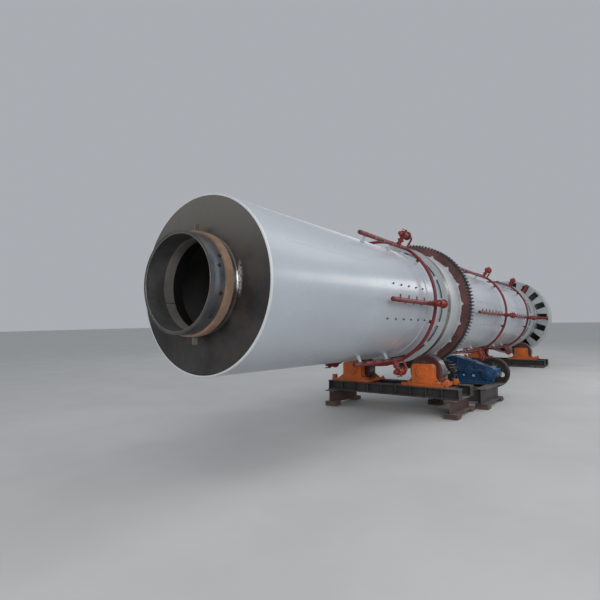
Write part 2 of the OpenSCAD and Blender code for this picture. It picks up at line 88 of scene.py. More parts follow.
def photo_camera():
    yaw, pitch = math.radians(35.99), math.radians(3.76)
    forward = Vector((math.cos(yaw) * math.cos(pitch), math.sin(yaw) * math.cos(pitch), math.sin(pitch)))
    right = Vector((math.sin(yaw), -math.cos(yaw), 0))
    place = Matrix((right, right.cross(forward), -forward)).transposed().to_4x4()
    place.translation = (-3.351, -3.767, -0.490)
    data = bpy.data.cameras.new("camera")
    data.lens = 27.205
    data.sensor_width = 36
    data.clip_end = 300
    cam = bpy.data.objects.new("camera", data)
    bpy.context.scene.collection.objects.link(cam)
    cam.matrix_world = KILN @ place
    bpy.context.scene.camera = cam


# Materials


class Look:
    """A node material that is kept in looks, with short calls for the nodes that they share."""

    def __init__(self, name, colour, rough=0.5, metal=0.0):
        self.mat = looks[name] = bpy.data.materials.new(name)
        self.mat.use_nodes = True
        self.mat.diffuse_color = (*colour, 1)
        self.tree = self.mat.node_tree
        self.bsdf = self.tree.nodes["Principled BSDF"]
        self.bsdf.inputs["Base Color"].default_value = (*colour, 1)
        self.bsdf.inputs["Roughness"].default_value = rough
        self.bsdf.inputs["Metallic"].default_value = metal
        self.point = self.tree.nodes.new("ShaderNodeTexCoord").outputs["Object"]

    def node(self, kind, **inputs):
        n = self.tree.nodes.new(kind)
        for key, value in inputs.items():
            socket = n.inputs[int(key[1:]) if key[1:].isdigit() else key]
            self.feed(socket, value)
        return n

    def feed(self, socket, value):
        if isinstance(value, bpy.types.NodeSocket):
            self.tree.links.new(value, socket)
        elif isinstance(value, tuple) and len(value) == 3 and socket.type == "RGBA":
            socket.default_value = (*value, 1)
        else:
            socket.default_value = value

    def noise(self, scale, detail=3.0, stretch=(1, 1, 1), rough=0.55, at=None):
        at = self.point if at is None else at
        if stretch != (1, 1, 1):
            at = self.node("ShaderNodeMapping", _0=at, Scale=stretch).outputs[0]
        return self.node("ShaderNodeTexNoise", Vector=at, Scale=scale, Detail=detail, Roughness=rough).outputs[0]

    def math(self, how, a, b=0.0, clamp=False):
        n = self.node("ShaderNodeMath", _0=a, _1=b)
        n.operation = how
        n.use_clamp = clamp
        return n.outputs[0]

    def times(self, a, b):
        return self.math("MULTIPLY", a, b)

    def hypot(self, a, b):
        return self.math("SQRT", self.math("ADD", self.times(a, a), self.times(b, b)))

    def span(self, value, low, high, to_low=0.0, to_high=1.0):
        n = self.node("ShaderNodeMapRange", _0=value, _1=low, _2=high, _3=to_low, _4=to_high)
        n.interpolation_type = "SMOOTHSTEP"
        return n.outputs[0]

    def mix(self, fac, a, b):
        n = self.node("ShaderNodeMix")
        n.data_type = "RGBA"
        self.feed(n.inputs["Factor"], fac)
        self.feed(n.inputs[6], a)
        self.feed(n.inputs[7], b)
        return n.outputs[2]

    def blend(self, fac, a, b):
        """Mixes two numbers, as mix does two colours."""
        n = self.node("ShaderNodeMix")
        self.feed(n.inputs["Factor"], fac)
        self.feed(n.inputs[2], a)
        self.feed(n.inputs[3], b)
        return n.outputs[0]

    def kiln_point(self):
        """The point in the kiln's frame, its x, y and z, and its distance from the kiln axis."""
        n = self.node("ShaderNodeMapping", _0=self.point)
        n.inputs["Rotation"].default_value = (0, -SLOPE, 0)
        n.inputs["Location"].default_value = -(Matrix.Rotation(-SLOPE, 3, "Y") @ ORIGIN)
        xyz = self.node("ShaderNodeSeparateXYZ", _0=n.outputs[0]).outputs
        return n.outputs[0], xyz[0], xyz[1], xyz[2], self.hypot(xyz[1], xyz[2])

    def up(self):
        """1 on faces that look up, 0 on the rest."""
        normal = self.node("ShaderNodeNewGeometry").outputs["Normal"]
        return self.span(self.node("ShaderNodeSeparateXYZ", _0=normal).outputs[2], 0.35, 0.95)

    def edge(self, radius):
        """1 along the outer and inner edges, 0 on the faces."""
        soft = self.node("ShaderNodeBevel", Radius=radius).outputs[0]
        true = self.node("ShaderNodeNewGeometry").outputs["True Normal"]
        dot = self.node("ShaderNodeVectorMath", _0=soft, _1=true)
        dot.operation = "DOT_PRODUCT"
        return self.span(dot.outputs["Value"], 0.80, 0.985, 1, 0)

    def colour(self, value):
        self.feed(self.bsdf.inputs["Base Color"], value)

    def rough(self, value):
        self.feed(self.bsdf.inputs["Roughness"], value)

    def metal(self, value):
        self.feed(self.bsdf.inputs["Metallic"], value)

    def bump(self, *layers, soft=0.0):
        """Layers of (height, depth in metres), coarse first. soft rounds the edges in the shading."""
        normal = self.node("ShaderNodeBevel", Radius=soft).outputs[0] if soft else None
        for height, depth in layers:
            n = self.node("ShaderNodeBump", Distance=depth, Height=height)
            n.inputs["Strength"].default_value = 1.0
            if normal is not None:
                self.feed(n.inputs["Normal"], normal)
            normal = n.outputs[0]
        self.feed(self.bsdf.inputs["Normal"], normal)


def tint(colour, k):
    return tuple(min(1.0, c * k) for c in colour)


DUST = (0.36, 0.325, 0.28)
DIRT = (0.075, 0.062, 0.052)


def coated(name, colour, rough=0.45, metal=0.0, patch=0.12, dust=0.25, grime=0.25, soft=0.003,
           worn=(0.16, 0.10, 0.07), worn_at=0.70, coat=0.0, edge=0.0, edge_wear_and_highlight_colour=(0.30, 0.27, 0.25), tread=None):
    """Brushed or sprayed paint on steel: cloudy shade, dust on top faces, dirt in patches, chips, and lighter edges
    that are partly worn paint and partly painted highlight.
    """
    look = Look(name, colour, rough, metal)
    cloud = look.noise(1.7, 5)
    fine = look.noise(38, 4)
    base = look.mix(look.span(cloud, 0.35, 0.68), tint(colour, 1 - patch), tint(colour, 1 + patch))
    base = look.mix(look.span(fine, 0.52, 0.75, 0, 0.25), base, tint(colour, 0.7))
    dirt = look.times(look.span(look.noise(3.1, 8, rough=0.68), 0.50, 0.70), grime)
    base = look.mix(dirt, base, DIRT)
    dusty = look.times(look.up(), look.times(look.span(look.noise(6, 5), 0.3, 0.7, 0.4, 1), dust))
    base = look.mix(dusty, base, DUST)
    chips = look.span(look.noise(21, 9, rough=0.72), worn_at, worn_at + 0.03)
    base = look.mix(chips, base, worn)
    if edge:
        # Lighter edges: partly rubbed paint, partly painted highlight where the edges catch the light
        worn_and_lit_edges = look.times(look.edge(0.006), look.span(look.noise(17, 6), 0.35, 0.6, 0.25 * edge, edge))
        base = look.mix(worn_and_lit_edges, base, edge_wear_and_highlight_colour)
    r = look.math("ADD", look.span(fine, 0.3, 0.7, rough - 0.06, rough + 0.08),
                  look.times(look.math("ADD", dusty, chips), 0.35), clamp=True)
    if tread:
        bright = tread(look)
        base = look.mix(bright, base, look.mix(look.span(look.noise(22, 5), 0.4, 0.65), (0.30, 0.29, 0.28),
                                               (0.17, 0.15, 0.14)))
        r = look.blend(bright, r, 0.34)
        look.metal(look.span(bright, 0, 1, metal, 0.85))
    look.colour(base)
    look.rough(r)
    look.bsdf.inputs["Coat Weight"].default_value = coat
    look.bump((look.noise(9, 4), 0.0016), (look.noise(150, 3), 0.0002), soft=soft)


def tyre_tread(look):
    """1 on the running face of a tyre."""
    *_, out = look.kiln_point()
    return look.times(look.span(out, TYRE_R - 0.0008, TYRE_R - 0.0003),
                      look.span(out, TYRE_R + 0.001, TYRE_R + 0.002, 1, 0))


def roller_tread(look):
    """1 on the running face of a roller, on either side of the kiln."""
    _, _, y, z, _ = look.kiln_point()
    side = look.math("SUBTRACT", look.math("ABSOLUTE", y), ROLLER_Y)
    return look.span(look.hypot(side, look.math("SUBTRACT", z, ROLLER_Z)), ROLLER_R - 0.001, ROLLER_R - 0.0004)


def shell_paint():
    """Pale gloss paint on rolled plate, with faint waves, runs and handling marks; dark inside, which is soot and
    painted shade for the unlit inside.
    """
    colour = (0.455, 0.49, 0.54)
    look = Look("shell_paint", colour, 0.30)
    at, _, _, z, out = look.kiln_point()
    cloud = look.noise(0.55, 4, at=at)
    runs = look.noise(2.2, 3, stretch=(3.0, 0.5, 0.5), at=at)
    base = look.mix(look.span(cloud, 0.3, 0.7), tint(colour, 0.93), tint(colour, 1.06))
    base = look.mix(look.span(runs, 0.5, 0.8, 0, 0.04), base, tint(colour, 0.84))
    marks = look.span(look.noise(4.2, 10, rough=0.74, at=at), 0.69, 0.78, 0, 0.02)
    base = look.mix(marks, base, (0.27, 0.25, 0.24))
    scuffs = look.noise(9, 8, stretch=(0.35, 1.6, 1.6), rough=0.66, at=at)
    base = look.mix(look.span(scuffs, 0.68, 0.75, 0, 0.07), base, (0.62, 0.64, 0.66))
    low = look.times(look.span(z, -1.02, -0.6, 1, 0), look.span(look.noise(2.6, 7, at=at), 0.35, 0.65, 0.06, 0.18))
    base = look.mix(low, base, (0.24, 0.215, 0.205))
    dusty = look.times(look.up(), look.span(look.noise(1.2, 2), 0.35, 0.75, 0.02, 0.16))
    base = look.mix(dusty, base, (0.40, 0.37, 0.33))
    # Dark inside the shell: soot, and painted shade that stands in for the unlit inside
    soot_and_inner_shade = look.span(out, 0.988, 0.994, 1, 0)
    base = look.mix(soot_and_inner_shade, base, look.mix(look.span(look.noise(1.3, 6, at=at), 0.35, 0.65), (0.10, 0.096, 0.096),
                                           (0.16, 0.15, 0.145)))
    look.colour(base)
    look.rough(look.math("ADD", look.span(look.noise(1.5, 1, at=at), 0.3, 0.7, 0.27, 0.33),
                         look.times(soot_and_inner_shade, 0.5), clamp=True))
    look.bsdf.inputs["Coat Weight"].default_value = 0.22
    look.bsdf.inputs["Coat Roughness"].default_value = 0.16
    look.bump((look.noise(0.9, 2, stretch=(1.6, 0.6, 0.6), at=at), 0.012), (look.noise(7, 3, at=at), 0.0003),
              (look.noise(210, 2, at=at), 0.00006))


def throat_zones(look, base, x, z, out, cloud):
    """The throat's colour, and how far it is dull: painted shade that darkens it towards the bottom, a painted
    highlight outside, brown lip and root, a ring in the bore made pale as painted light, and near-black painted shade
    past it."""
    def dull(shade):
        return look.mix(look.span(cloud, 0.35, 0.66), tint(shade, 0.75), tint(shade, 1.2))

    def near(value, middle, full, none):
        return look.span(look.math("ABSOLUTE", look.math("SUBTRACT", value, middle)), full, none, 1, 0)

    # Painted highlight: a pale blue streak on the outside near the lip, where light falls
    painted_highlight = look.times(near(x, -0.272, 0.012, 0.045), near(z, 0.07, 0.06, 0.26))
    # Painted shade: the outside darkened, most towards the bottom
    base = look.mix(look.span(z, -0.45, 0.1, 0.45, 0.15), base, (0.050, 0.050, 0.054))
    base = look.mix(look.times(painted_highlight, 0.55), base, (0.33, 0.38, 0.43))
    root = look.times(look.span(x, -0.078, -0.070), look.span(x, 0.5, 0.6, 1, 0))
    brown = look.math("ADD", look.span(x, -0.3395, -0.337, 0.85, 0), root, clamp=True)
    base = look.mix(brown, base, dull((0.115, 0.098, 0.088)))
    bore = look.span(out, THROAT_R + 0.002, THROAT_R + 0.006, 1, 0)
    base = look.mix(look.times(bore, 0.9), base, dull((0.070, 0.068, 0.067)))
    # Painted light: the ring in the bore made pale where light reaches it
    base = look.mix(look.span(out, THROAT_R - 0.006, THROAT_R - 0.003, 0.9, 0), base, dull((0.21, 0.195, 0.185)))
    # Painted shade: near black past the ring, standing in for the unlit inside of the kiln
    painted_bore_shade = look.times(look.span(x, 0.024, 0.026), look.span(x, 0.5, 0.6, 1, 0))
    return look.mix(look.times(bore, painted_bore_shade), base, (0.012, 0.012, 0.013)), bore


def bare_steel(name, colour, brown, rough=0.42, metal=0.55, swirl=1.0, rust=0.35, ground=None, painted_top_light=None,
               zones=None):
    """Mill-scaled plate: dark, slightly blue, with brown bloom, scratches and streaks.
    ground is (y, z, size) of a spot where the weld was ground bright. The top colour lightens the kiln's upper half,
    as painted light from above. zones changes the colour by place."""
    look = Look(name, colour, rough, metal)
    at, x, y, z, out = look.kiln_point()
    cloud = look.noise(2.3, 7, rough=0.62, at=at)
    base = look.mix(look.span(cloud, 0.35, 0.66), tint(colour, 0.72), tint(colour, 1.3))
    bloom = look.times(look.span(look.noise(4.2, 9, rough=0.7, at=at), 0.47, 0.66), rust)
    base = look.mix(bloom, base, brown)
    streak = look.noise(13, 5, stretch=(0.4, 3.0, 0.35), at=at)
    base = look.mix(look.span(streak, 0.6, 0.75, 0, 0.35 * swirl), base, tint(colour, 2.1))
    scratch = look.noise(34, 4, stretch=(0.5, 2.4, 0.22), at=at)
    base = look.mix(look.span(scratch, 0.70, 0.76, 0, 0.5 * swirl), base, tint(colour, 3.0))
    # Painted light: the upper half lightened towards the top colour, as if lit from above
    if painted_top_light:
        base = look.mix(look.span(z, -0.1, 0.95, 0, 0.95), base, painted_top_light)
    if zones:
        base, dull = zones(look, base, x, z, out, cloud)
        look.metal(look.blend(dull, metal, 0.1))
    r = look.math("ADD", look.span(cloud, 0.3, 0.7, rough - 0.1, rough + 0.1), look.times(bloom, 0.5), clamp=True)
    if ground:
        away = look.hypot(look.math("SUBTRACT", y, ground[0]),
                          look.times(look.math("SUBTRACT", z, ground[1]), 0.22))
        flecks = look.span(look.noise(44, 6, stretch=(1, 1.4, 0.6), rough=0.7, at=at), 0.40, 0.56)
        spot = look.times(look.span(away, ground[2] * 0.35, ground[2], 1, 0), flecks)
        base = look.mix(spot, base, (0.82, 0.82, 0.83))
        r = look.blend(spot, r, 0.30)
    look.colour(base)
    look.rough(r)
    look.bump((look.noise(14, 5, at=at), 0.0008), (look.noise(160, 4, at=at), 0.00025), soft=0.003)


def gear_paint():
    """Maroon primer on the gear body, and dark greased teeth."""
    maroon = (0.115, 0.042, 0.040)
    look = Look("gear_paint", maroon, 0.5)
    at, *_, out = look.kiln_point()
    base = look.mix(look.span(look.noise(3.0, 7, rough=0.65, at=at), 0.35, 0.68), tint(maroon, 0.65),
                    tint(maroon, 1.4))
    base = look.mix(look.span(look.noise(8, 8, rough=0.7, at=at), 0.55, 0.72, 0, 0.45), base, (0.20, 0.075, 0.045))
    teeth = look.span(look.math("ADD", out, look.span(look.noise(24, 4, at=at), 0.3, 0.7, -0.006, 0.006)),
                      GEAR_ROOT_R, GEAR_ROOT_R + 0.009)
    greasy = look.mix(look.span(look.noise(30, 6, at=at), 0.4, 0.66), (0.016, 0.016, 0.018), (0.06, 0.055, 0.055))
    look.colour(look.mix(teeth, base, greasy))
    look.rough(look.span(teeth, 0, 1, 0.52, 0.34))
    look.bump((look.noise(25, 5, at=at), 0.0008), (look.noise(170, 3, at=at), 0.0002), soft=0.0015)


def ground_steel(name, colour, rough=0.28):
    """Turned or ground steel, with fine lines and a light oil film."""
    look = Look(name, colour, rough, 1.0)
    lines = look.noise(260, 2, stretch=(1, 0.06, 0.06))
    stain = look.span(look.noise(9, 7, rough=0.65), 0.52, 0.7, 0, 0.6)
    base = look.mix(look.span(look.noise(12, 5), 0.4, 0.7), colour, tint(colour, 0.72))
    look.colour(look.mix(stain, base, tint(colour, 0.35)))
    look.rough(look.span(look.noise(20, 4), 0.3, 0.7, rough - 0.05, rough + 0.14))
    look.bump((lines, 0.00008), soft=0.0015)


def make_looks():
    shell_paint()
    # End plate: its upper half is lightened as painted light from above
    bare_steel("end_plate_steel", (0.060, 0.055, 0.053), (0.10, 0.068, 0.048), 0.40, 0.5,
               ground=(-0.574, 0.035, 0.048), painted_top_light=(0.205, 0.192, 0.168))
    bare_steel("throat_steel", (0.150, 0.163, 0.182), (0.12, 0.075, 0.052), 0.34, 0.55, 1.3, zones=throat_zones)
    bare_steel("rust_steel", (0.34, 0.225, 0.165), (0.40, 0.20, 0.11), 0.62, 0.1, 0.9, 0.6)
    bare_steel("weld_metal", (0.17, 0.16, 0.155), (0.16, 0.09, 0.055), 0.34, 0.8, rust=0.5)
    coated("tyre_paint", (0.42, 0.455, 0.465), 0.38, patch=0.06, dust=0.08, grime=0.12, worn_at=0.74, edge=0.3,
           tread=tyre_tread)
    coated("white_paint", (0.52, 0.555, 0.57), 0.36, patch=0.05, dust=0.05, grime=0.08, worn_at=0.75)
    coated("rim_white", (0.72, 0.74, 0.75), 0.40, patch=0.05, dust=0.03, grime=0.12, worn_at=0.76)
    gear_paint()
    coated("pipe_paint", (0.190, 0.018, 0.022), 0.40, patch=0.22, dust=0.16, grime=0.35, worn_at=0.73)
    coated("valve_paint", (0.24, 0.026, 0.022), 0.42, patch=0.3, dust=0.14, grime=0.4, worn_at=0.72)
    coated("roller_paint", (0.120, 0.048, 0.046), 0.45, patch=0.25, dust=0.2, grime=0.4, worn=(0.30, 0.30, 0.31),
           worn_at=0.68, tread=roller_tread)
    coated("housing_paint", (0.66, 0.145, 0.022), 0.44, patch=0.14, dust=0.22, grime=0.36, soft=0.006, worn_at=0.71,
           edge=0.35, edge_wear_and_highlight_colour=(0.80, 0.33, 0.16))
    coated("beam_steel", (0.048, 0.043, 0.043), 0.58, patch=0.3, dust=0.35, grime=0.2, worn=(0.17, 0.085, 0.05),
           worn_at=0.62, edge=0.75, edge_wear_and_highlight_colour=(0.26, 0.235, 0.225))
    coated("sleeper_steel", (0.12, 0.072, 0.064), 0.66, patch=0.3, dust=0.35, grime=0.3, worn=(0.22, 0.11, 0.06),
           worn_at=0.60, edge=0.5)
    coated("reducer_blue", (0.012, 0.062, 0.150), 0.30, patch=0.16, dust=0.16, grime=0.25, soft=0.006, worn_at=0.75,
           coat=0.3, edge=0.6, edge_wear_and_highlight_colour=(0.16, 0.30, 0.47))
    # Lighter blue for the lifting hooks, and as painted highlight on the reducer's round end
    coated("cap_blue", (0.045, 0.165, 0.33), 0.32, patch=0.16, dust=0.14, grime=0.25, soft=0.004, worn_at=0.75,
           coat=0.3)
    coated("bolt_blue", (0.030, 0.070, 0.125), 0.38, patch=0.2, dust=0.15, grime=0.4, worn_at=0.68)
    bare_steel("lug_steel", (0.135, 0.128, 0.108), (0.12, 0.08, 0.06), 0.5, 0.1, 0.6)
    ground_steel("shaft_steel", (0.42, 0.41, 0.39))
    ground_steel("bolt_steel", (0.20, 0.19, 0.18), 0.42)
    ground_steel("pinion_steel", (0.13, 0.125, 0.12), 0.34)
    coated("bearing_grey", (0.30, 0.285, 0.255), 0.5, patch=0.12, dust=0.3, grime=0.4, soft=0.005)
    coated("pulley_iron", (0.040, 0.028, 0.025), 0.55, metal=0.3, patch=0.35, dust=0.2, grime=0.3,
           worn=(0.19, 0.085, 0.045), worn_at=0.60, edge=0.5, edge_wear_and_highlight_colour=(0.18, 0.15, 0.13))
    # Near black: painted shade for holes and gaps
    coated("black_hole", (0.012, 0.012, 0.013), 0.6, patch=0.2, dust=0.1, grime=0.1, worn_at=0.8)
    coated("glass", (0.55, 0.50, 0.30), 0.12, patch=0.1, dust=0.05, grime=0.1, worn_at=0.85, coat=0.8)


def floor_look():
    look = Look("studio_floor", (0.6, 0.6, 0.59), 0.8)
    look.colour(look.mix(look.span(look.noise(0.8, 3), 0.3, 0.7), (0.58, 0.58, 0.57), (0.62, 0.62, 0.61)))
    return look.mat


# Shapes, in the kiln's frame


class Work:
    """The vertices and faces of one piece."""

    def __init__(self):
        self.verts = []
        self.faces = []

    def add(self, at, verts, faces):
        first = len(self.verts)
        self.verts += [at @ Vector(v) for v in verts]
        self.faces += [[first + i for i in face] for face in faces]

    def lathe(self, at, profile, n=12, closed=False):
        """A turned shape about the local x axis, from points (along, radius)."""
        verts = [(along, r * math.cos(2 * math.pi * k / n), r * math.sin(2 * math.pi * k / n))
                 for along, r in profile for k in range(n)]
        rows = len(profile)
        faces = [[i * n + k, i * n + (k + 1) % n, (i + 1) % rows * n + (k + 1) % n, (i + 1) % rows * n + k]
                 for i in range(rows if closed else rows - 1) for k in range(n)]
        if not closed:
            faces += [list(range(n)), list(range((rows - 1) * n, rows * n))]
        self.add(at, verts, faces)

    def block(self, at, low, high, c=0.003):
        """A box with chamfered edges, between two corners."""
        low, high = ([pick(pair) for pair in zip(low, high)] for pick in (min, max))
        verts = []
        for corner in range(8):
            high_side = [(corner >> k) & 1 for k in range(3)]
            for face in range(3):
                verts.append([(high[k] if high_side[k] else low[k])
                              + (0 if k == face else (-c if high_side[k] else c)) for k in range(3)])
        faces = [[corner * 3 + k for k in range(3)] for corner in range(8)]
        for a in range(3):
            b, d = 1 << (a + 1) % 3, 1 << (a + 2) % 3
            for side in (0, 1 << a):
                faces.append([corner * 3 + a for corner in (side, side + b, side + b + d, side + d)])
            for near in (0, b, b + d, d):
                ends = (near, near + (1 << a))
                faces.append([ends[0] * 3 + (a + 1) % 3, ends[1] * 3 + (a + 1) % 3,
                              ends[1] * 3 + (a + 2) % 3, ends[0] * 3 + (a + 2) % 3])
        self.add(at, verts, faces)

    def bolt(self, at, r, proud=0.0):
        """A washer and a hexagon head or nut along local x. proud is the thread that stands out of a nut."""
        self.lathe(at, [(-0.001, r * 1.32), (0.16 * r, r * 1.32), (0.2 * r, r * 1.22)], 14)
        self.lathe(at, [(0.1 * r, r), (0.86 * r, r), (r, r * 0.86)], 6)
        if proud:
            self.lathe(at, [(0.8 * r, r * 0.55), (r + proud * 0.8, r * 0.55), (r + proud, r * 0.42)], 10)

    def tube(self, points, r, n=8):
        """A round bar through points."""
        rings = []
        for i, p in enumerate(points):
            ahead = (points[min(i + 1, len(points) - 1)] - points[max(i - 1, 0)]).normalized()
            side = ahead.orthogonal().normalized() if i == 0 else (side - ahead * side.dot(ahead)).normalized()
            up = ahead.cross(side)
            rings.append([p + (side * math.cos(2 * math.pi * k / n) + up * math.sin(2 * math.pi * k / n)) * r
                          for k in range(n)])
        verts = [v for ring in rings for v in ring]
        faces = [[i * n + k, i * n + (k + 1) % n, (i + 1) * n + (k + 1) % n, (i + 1) * n + k]
                 for i in range(len(points) - 1) for k in range(n)]
        faces += [list(range(n)), list(range((len(points) - 1) * n, len(points) * n))]
        self.add(Matrix(), verts, faces)


def place(at, out, up):
    """A frame at a point: local x looks out, local z stays nearest to up."""
    x = Vector(out).normalized()
    y = Vector(up).cross(x).normalized()
    m = Matrix((x, y, x.cross(y))).transposed().to_4x4()
    m.translation = Vector(at)
    return m


def clock(theta, r, x=0.0):
    """The point at a clock angle: 0 is level on the drive side, 90 is the top."""
    t = math.radians(theta)
    return Vector((x, -r * math.cos(t), r * math.sin(t)))


def outward(x, theta, r):
    """A frame on a circle around the kiln axis: local x outward, local z along the kiln."""
    return place(clock(theta, r, x), clock(theta, 1), (1, 0, 0))


def tangent(x, theta, r, turn=1):
    """As outward, with local x along the circle, upward on the drive side."""
    return place(clock(theta, r, x), clock(theta + 90, 1) * turn, (1, 0, 0))


def facing(x, y, z, way=-1):
    """A frame with local x along the kiln, towards the feed end for -1."""
    return place((x, y, z), (way, 0, 0), (0, 0, 1))


def flat(x, y, z, way=1):
    """A frame with local x straight up for 1 and down for -1."""
    return place((x, y, z), (0, 0, way), (1, 0, 0))


def circle(at, n, r, turn=0.0):
    """Frames spread on a circle about the local x axis."""
    return [at @ Matrix.Rotation(2 * math.pi * k / n + turn, 4, "X") @ Matrix.Translation((0, r, 0))
            for k in range(n)]


def bead(x, r, width, proud):
    """The section of a weld bead that runs around the kiln, from (along, radius) points."""
    return [(x - width, r - 0.003), (x - width * 0.55, r + proud * 0.75), (x, r + proud),
            (x + width * 0.55, r + proud * 0.75), (x + width, r - 0.003)]


def band(half, inner, outer):
    """The section of a ring, from (along, radius) points."""
    return [(-half, inner), (-half, outer), (half, outer), (half, inner)]


def piece(name, work, look, body):
    """An object in the scene, which rides on a body and wears one look."""
    mesh = bpy.data.meshes.new(name)
    mesh.from_pydata([KILN @ v for v in work.verts], [], work.faces)
    b = bmesh.new()
    b.from_mesh(mesh)
    bmesh.ops.recalc_face_normals(b, faces=b.faces)
    b.to_mesh(mesh)
    b.free()
    mesh.polygons.foreach_set("use_smooth", [True] * len(mesh.polygons))
    mesh.set_sharp_from_angle(angle=math.radians(35))
    mesh.materials.append(looks[look])
    thing = bpy.data.objects.new(name, mesh)
    bpy.context.scene.collection.objects.link(thing)
    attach(thing, body)


# Shell and its ends


def shell_details():
    seams = Work()
    for x in SEAMS:
        seams.lathe(Matrix(), bead(x, 1.0, 0.008, 0.0016), 200, closed=True)
    for x, way in WRAP_ENDS:
        seams.lathe(Matrix(), [(x - way * 0.002, WRAP_R - 0.001), (x + way * 0.010, 1.0), (x - way * 0.002, 0.996)],
                    200, closed=True)
    joints = [(0.02, 0.4, 128, 1.0), (0.4, 2.28, 27, 1.0), (2.28, 4.15, 147, 1.0), (4.15, 6.4, 205, WRAP_R),
              (6.4, 8.3, 87, 1.0), (8.3, 10.2, 33, 1.0), (10.2, 12.1, 152, 1.0), (12.1, 13.43, 213, 1.0),
              (13.43, 14.5, 98, WRAP_R), (14.5, 15.45, 322, 1.0)]
    for x0, x1, theta, r in joints:
        seams.block(outward(0, theta, r), (-0.002, -0.007, x0), (0.0014, 0.007, x1), 0.0012)
    piece("shell_seams", seams, "shell_paint", "drum")

    first, rest = Work(), Work()
    for k, start in enumerate(STUD_START):
        studs = rest if k else first
        for turn in (TURNS[k][0], TURNS[k][3]):
            for i in range(6):
                for theta, x in ((turn + 14, start + 0.225 + STUD_PITCH * i),
                                 (turn - 16, start + 0.085 + STUD_PITCH * i)):
                    if theta == turn + 14 and i == 5:
                        continue
                    studs.lathe(outward(x, theta, 0.999), [(0, 0.017), (0.004, 0.017), (0.006, 0.015)], 12)
                    studs.bolt(outward(x, theta, 1.004), 0.0125, 0.008)
    piece("shell_studs", first, "bolt_steel", "drum")
    piece("shell_painted_studs", rest, "shell_paint", "drum")


def ends_details():
    rim = Work()
    rim.lathe(Matrix(), [(0.0004, 0.982), (-0.0025, 0.985), (-0.002, 0.998), (0.002, 1.0012), (0.022, 1.0012),
                         (0.024, 0.998)], 200, closed=True)
    piece("feed_rim_weld", rim, "rim_white", "drum")
    feed = Work()
    feed.lathe(Matrix(), [(-0.013, 0.5415), (-0.009, 0.549), (0.001, 0.556), (0.001, 0.5415)], 160, closed=True)
    feed.lathe(Matrix(), [(-0.0715, 0.5415), (-0.0715, 0.551), (-0.067, 0.547), (-0.062, 0.5415)], 160, closed=True)
    piece("feed_end_welds", feed, "end_plate_steel", "drum")
    # A bright polished ring on the lip's inner edge: painted highlight for the light line along it
    lip = Work()
    lip.lathe(Matrix(), [(-0.3395, THROAT_R - 0.001), (-0.3415, THROAT_R + 0.001), (-0.3415, THROAT_R + 0.004),
                         (-0.3395, THROAT_R + 0.005)], 160, closed=True)
    piece("throat_lip_edge", lip, "shaft_steel", "drum")
    ears = Work()
    for theta, side in ((90, 1), (270, -1)):
        ears.block(outward(0, theta, 0.560), (0, side * 0.040, -0.152), (0.090, side * 0.052, -0.082))
        for height in (0.028, 0.062):
            spot = clock(theta, 0.560 + height, -0.117)
            ears.lathe(place((spot.x, -0.052, spot.z), (0, -1, 0), (0, 0, 1)), [(0, 0.010), (0.003, 0.008)], 12)
    piece("throat_lug_ears", ears, "lug_steel", "drum")

    far = Work()
    far.lathe(Matrix(), [(KILN_LEN + 0.013, 0.5415), (KILN_LEN + 0.009, 0.549), (KILN_LEN - 0.001, 0.556),
                         (KILN_LEN - 0.001, 0.5415)], 160, closed=True)
    far.lathe(Matrix(), [(KILN_LEN - 0.0004, 1.364), (KILN_LEN + 0.003, 1.367), (KILN_LEN + 0.001, 1.3695),
                         (KILN_LEN - 0.003, 1.3695)], 200, closed=True)
    far.lathe(Matrix(), [(15.442, 0.9995), (15.446, 1.007), (15.4505, 1.010), (15.4505, 0.9995)], 200, closed=True)
    far.lathe(Matrix(), [(15.4705, 0.9995), (15.4705, 1.010), (15.475, 1.007), (15.479, 0.9995)], 200, closed=True)
    piece("discharge_end_welds", far, "weld_metal", "drum")

    # Near-black bosses for tapped holes in the throats: their black is painted shade in the holes
    plugs = Work()
    for x, theta in THROAT_PLUGS + [(KILN_LEN + 0.22, 22 + 45 * i) for i in range(8)]:
        plugs.lathe(outward(x, theta, THROAT_OUT_R - 0.003), [(0, 0.020), (0.009, 0.020), (0.011, 0.017)], 20)
        plugs.lathe(outward(x, theta, THROAT_OUT_R + 0.006), [(0, 0.011), (0.007, 0.011), (0.008, 0.009)], 4)
    piece("throat_plugs", plugs, "black_hole", "drum")


# Tyres and gear


def tyre_details():
    for n, middle in enumerate(TYRE_MIDS, 1):
        keepers = Work()
        for k in range(15):
            theta = 2.2 + 24 * k
            for way in (-1, 1):
                keepers.block(outward(middle + way * (TYRE_HALF + 0.0065), theta, 1.041),
                              (-0.001, -0.030, -0.0045), (0.024, 0.030, 0.0045), 0.002)
        piece(f"tyre_{n}_keepers", keepers, "white_paint", "drum")


def gear_details():
    bolts = Work()
    for k in range(18):
        theta = 9 + 20 * k
        for way, x in ((-1, GEAR_X - 0.024), (1, GEAR_X + GEAR_W)):
            bolts.bolt(facing(*clock(theta, GEAR_LUG_R, x), way), 0.0155, 0.012)
    piece("gear_lug_bolts", bolts, "bolt_steel", "drum")

    welds = Work()
    for x, way in SEAT_ENDS:
        welds.lathe(Matrix(), [(x + way * 0.012, WRAP_R - 0.0005), (x + way * 0.008, WRAP_R + 0.008),
                               (x - way * 0.001, WRAP_R + 0.012), (x - way * 0.001, WRAP_R - 0.0005)],
                    200, closed=True)
    piece("gear_seat_welds", welds, "white_paint", "drum")


# Air pipework


